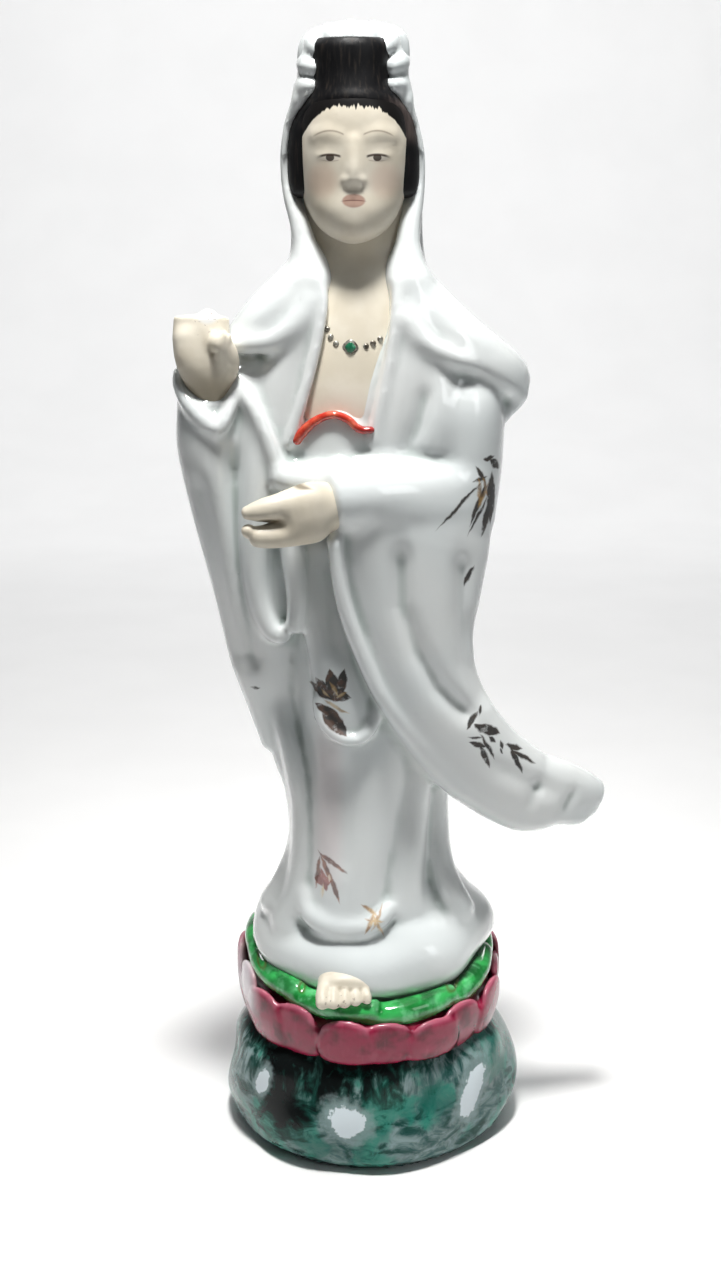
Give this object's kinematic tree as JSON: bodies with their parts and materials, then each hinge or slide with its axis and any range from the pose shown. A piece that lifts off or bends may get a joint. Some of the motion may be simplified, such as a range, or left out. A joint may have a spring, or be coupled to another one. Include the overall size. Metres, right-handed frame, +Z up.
{
  "type": "guanyin figure",
  "caption": "Glazed porcelain standing figure in flowing robes and hood, on a lotus flower and a rock base, painted in black, red, green, rose and gold.",
  "frame": {"origin": "centre of the rock base's underside, on the surface that the figure stands on", "axes": "+Z up along the figure, -Y the way the figure faces, +X towards the figure's left sleeve, which swings out"},
  "size_m": [0.1035, 0.0717, 0.2699],
  "materials": {
    "white_glaze": "glossy",
    "bisque_skin": "matt",
    "black_enamel": "glossy",
    "red_enamel": "glossy",
    "green_enamel": "glossy",
    "rose_enamel": "glossy",
    "rock_glaze": "glossy",
    "gilding": "satin"
  },
  "bodies": {
    "root": {"guanyin_figure": "white_glaze"}
  },
  "joints": []
}
